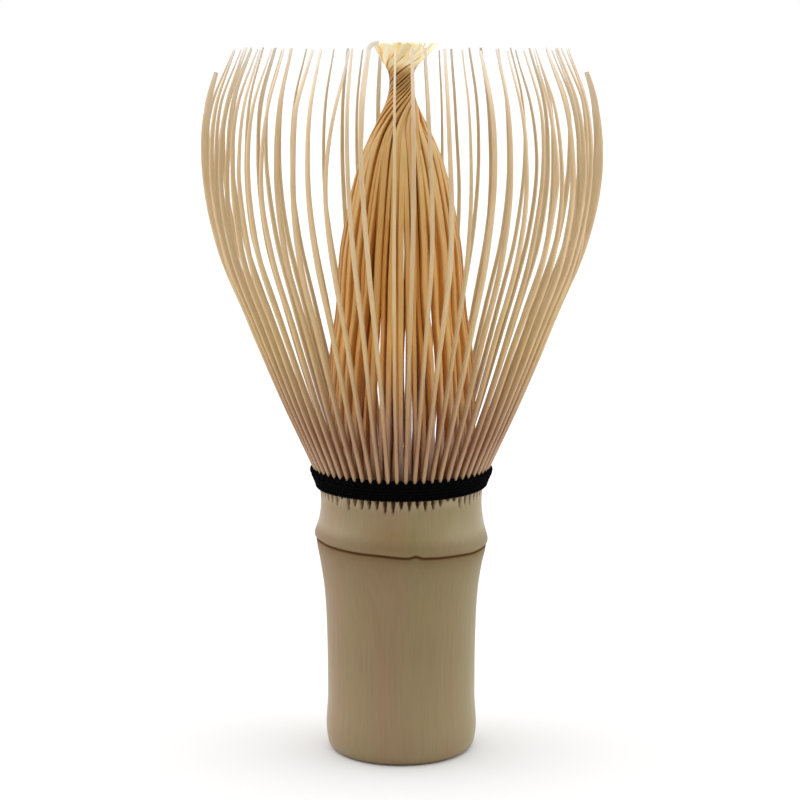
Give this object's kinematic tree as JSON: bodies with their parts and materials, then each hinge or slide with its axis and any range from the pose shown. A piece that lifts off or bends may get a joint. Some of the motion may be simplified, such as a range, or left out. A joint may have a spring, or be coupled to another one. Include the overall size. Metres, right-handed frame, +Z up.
{
  "type": "bamboo tea whisk",
  "caption": "Hand whisk carved from one bamboo culm: a ring of fine springy outer tines round a twisted inner bundle, thread-bound above a short hollow handle.",
  "frame": {"origin": "centre of the handle's flat foot, on the surface that the whisk stands on", "axes": "+Z up along the culm's axis from the foot to the tines' tips, +Y from the front to the back, where the thread is knotted, and +X to the right as seen from the front"},
  "size_m": [0.0606, 0.0606, 0.1107],
  "materials": {
    "culm_skin": "satin bamboo skin with fine upright fibres",
    "pith": "matte bare bamboo, rough from cutting",
    "outer_tines": "shaved bamboo, smooth and matte",
    "inner_tines": "split bamboo, smooth with a warm golden colour",
    "thread": "twisted black cotton thread"
  },
  "bodies": {
    "handle": {"culm_handle": "culm_skin", "node_septum": "pith", "thread_winding": "thread", "thread_inside_round": "thread", "thread_knot": "thread"},
    "outer_stave_01": {"outer_comb_01": "outer_tines"},
    "outer_stave_02": {"outer_comb_02": "outer_tines"},
    "outer_stave_03": {"outer_comb_03": "outer_tines"},
    "outer_stave_04": {"outer_comb_04": "outer_tines"},
    "outer_stave_05": {"outer_comb_05": "outer_tines"},
    "outer_stave_06": {"outer_comb_06": "outer_tines"},
    "outer_stave_07": {"outer_comb_07": "outer_tines"},
    "outer_stave_08": {"outer_comb_08": "outer_tines"},
    "outer_stave_09": {"outer_comb_09": "outer_tines"},
    "outer_stave_10": {"outer_comb_10": "outer_tines"},
    "outer_stave_11": {"outer_comb_11": "outer_tines"},
    "outer_stave_12": {"outer_comb_12": "outer_tines"},
    "outer_stave_13": {"outer_comb_13": "outer_tines"},
    "outer_stave_14": {"outer_comb_14": "outer_tines"},
    "outer_stave_15": {"outer_comb_15": "outer_tines"},
    "outer_stave_16": {"outer_comb_16": "outer_tines"},
    "inner_bundle": {"inner_comb_01": "inner_tines", "inner_comb_02": "inner_tines", "inner_comb_03": "inner_tines", "inner_comb_04": "inner_tines", "inner_comb_05": "inner_tines", "inner_comb_06": "inner_tines", "inner_comb_07": "inner_tines", "inner_comb_08": "inner_tines", "inner_comb_09": "inner_tines", "inner_comb_10": "inner_tines", "inner_comb_11": "inner_tines", "inner_comb_12": "inner_tines", "inner_comb_13": "inner_tines", "inner_comb_14": "inner_tines", "inner_comb_15": "inner_tines", "inner_comb_16": "inner_tines"}
  },
  "joints": [
    {"name": "outer_flex_01", "type": "hinge", "parent": "handle", "child": "outer_stave_01", "pos_m": [0, -0.013, 0.0438], "axis": [1, 0, 0], "range_deg": [-3.5, 5], "stiffness_Nm_per_rad": 0.016},
    {"name": "outer_flex_02", "type": "hinge", "parent": "handle", "child": "outer_stave_02", "pos_m": [0.00498, -0.01201, 0.0438], "axis": [0.9239, 0.3827, 0], "range_deg": [-3.5, 5], "stiffness_Nm_per_rad": 0.016},
    {"name": "outer_flex_03", "type": "hinge", "parent": "handle", "child": "outer_stave_03", "pos_m": [0.00919, -0.00919, 0.0438], "axis": [0.7071, 0.7071, 0], "range_deg": [-3.5, 5], "stiffness_Nm_per_rad": 0.016},
    {"name": "outer_flex_04", "type": "hinge", "parent": "handle", "child": "outer_stave_04", "pos_m": [0.01201, -0.00498, 0.0438], "axis": [0.3827, 0.9239, 0], "range_deg": [-3.5, 5], "stiffness_Nm_per_rad": 0.016},
    {"name": "outer_flex_05", "type": "hinge", "parent": "handle", "child": "outer_stave_05", "pos_m": [0.013, 0, 0.0438], "axis": [0, 1, 0], "range_deg": [-3.5, 5], "stiffness_Nm_per_rad": 0.016},
    {"name": "outer_flex_06", "type": "hinge", "parent": "handle", "child": "outer_stave_06", "pos_m": [0.01201, 0.00498, 0.0438], "axis": [-0.3827, 0.9239, 0], "range_deg": [-3.5, 5], "stiffness_Nm_per_rad": 0.016},
    {"name": "outer_flex_07", "type": "hinge", "parent": "handle", "child": "outer_stave_07", "pos_m": [0.00919, 0.00919, 0.0438], "axis": [-0.7071, 0.7071, 0], "range_deg": [-3.5, 5], "stiffness_Nm_per_rad": 0.016},
    {"name": "outer_flex_08", "type": "hinge", "parent": "handle", "child": "outer_stave_08", "pos_m": [0.00498, 0.01201, 0.0438], "axis": [-0.9239, 0.3827, 0], "range_deg": [-3.5, 5], "stiffness_Nm_per_rad": 0.016},
    {"name": "outer_flex_09", "type": "hinge", "parent": "handle", "child": "outer_stave_09", "pos_m": [0, 0.013, 0.0438], "axis": [-1, 0, 0], "range_deg": [-3.5, 5], "stiffness_Nm_per_rad": 0.016},
    {"name": "outer_flex_10", "type": "hinge", "parent": "handle", "child": "outer_stave_10", "pos_m": [-0.00498, 0.01201, 0.0438], "axis": [-0.9239, -0.3827, 0], "range_deg": [-3.5, 5], "stiffness_Nm_per_rad": 0.016},
    {"name": "outer_flex_11", "type": "hinge", "parent": "handle", "child": "outer_stave_11", "pos_m": [-0.00919, 0.00919, 0.0438], "axis": [-0.7071, -0.7071, 0], "range_deg": [-3.5, 5], "stiffness_Nm_per_rad": 0.016},
    {"name": "outer_flex_12", "type": "hinge", "parent": "handle", "child": "outer_stave_12", "pos_m": [-0.01201, 0.00498, 0.0438], "axis": [-0.3827, -0.9239, 0], "range_deg": [-3.5, 5], "stiffness_Nm_per_rad": 0.016},
    {"name": "outer_flex_13", "type": "hinge", "parent": "handle", "child": "outer_stave_13", "pos_m": [-0.013, 0, 0.0438], "axis": [0, -1, 0], "range_deg": [-3.5, 5], "stiffness_Nm_per_rad": 0.016},
    {"name": "outer_flex_14", "type": "hinge", "parent": "handle", "child": "outer_stave_14", "pos_m": [-0.01201, -0.00498, 0.0438], "axis": [0.3827, -0.9239, 0], "range_deg": [-3.5, 5], "stiffness_Nm_per_rad": 0.016},
    {"name": "outer_flex_15", "type": "hinge", "parent": "handle", "child": "outer_stave_15", "pos_m": [-0.00919, -0.00919, 0.0438], "axis": [0.7071, -0.7071, 0], "range_deg": [-3.5, 5], "stiffness_Nm_per_rad": 0.016},
    {"name": "outer_flex_16", "type": "hinge", "parent": "handle", "child": "outer_stave_16", "pos_m": [-0.00498, -0.01201, 0.0438], "axis": [0.9239, -0.3827, 0], "range_deg": [-3.5, 5], "stiffness_Nm_per_rad": 0.016},
    {"name": "inner_lean", "type": "hinge", "parent": "handle", "child": "inner_bundle", "pos_m": [0, 0, 0.0455], "axis": [0, 1, 0], "range_deg": [-3, 3], "stiffness_Nm_per_rad": 0.2}
  ]
}
